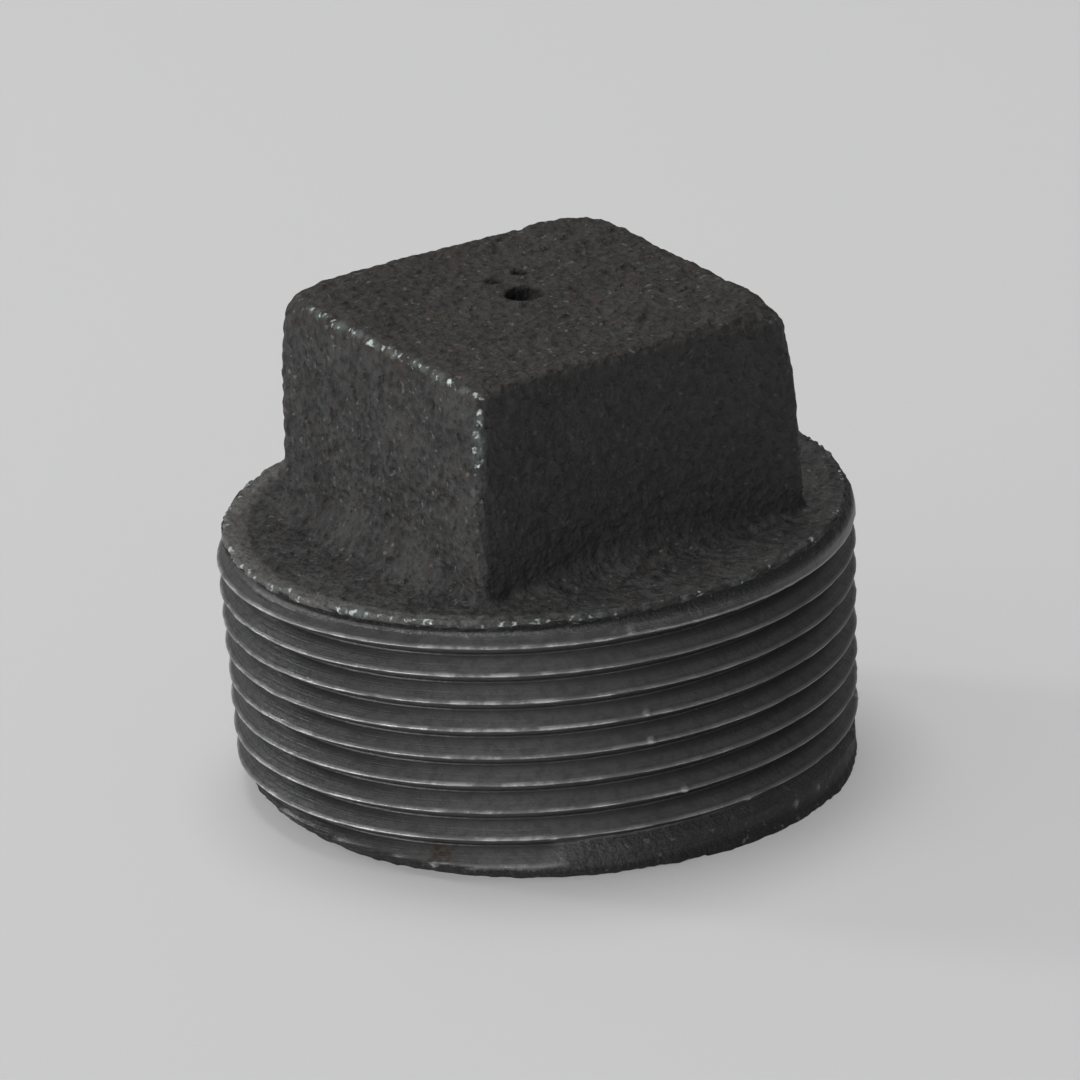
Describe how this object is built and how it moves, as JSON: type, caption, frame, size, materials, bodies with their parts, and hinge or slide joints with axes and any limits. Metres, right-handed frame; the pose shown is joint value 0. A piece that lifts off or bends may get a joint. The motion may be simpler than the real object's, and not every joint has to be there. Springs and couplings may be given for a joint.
{
  "type": "square-head pipe plug",
  "caption": "Black cast-iron pipe plug: a square wrench head on a round shoulder, over an outside taper pipe thread, cored hollow from below.",
  "frame": {"origin": "on the thread axis, in the plane of the thread's small end, which is the face that the plug stands on", "axes": "+Z along the thread axis from the small end up to the square head; X and Y square to the head's flats"},
  "size_m": [0.0486, 0.0486, 0.0378],
  "materials": {
    "cast_skin": "black as-cast sand skin, matt and grainy, worn bright on a few edges",
    "cut_thread": "cut and oiled, dark grey, satin, with bright crests"
  },
  "bodies": {
    "root": {"square_head": "cast_skin", "shoulder": "cast_skin", "threaded_body": "cut_thread"}
  },
  "joints": []
}
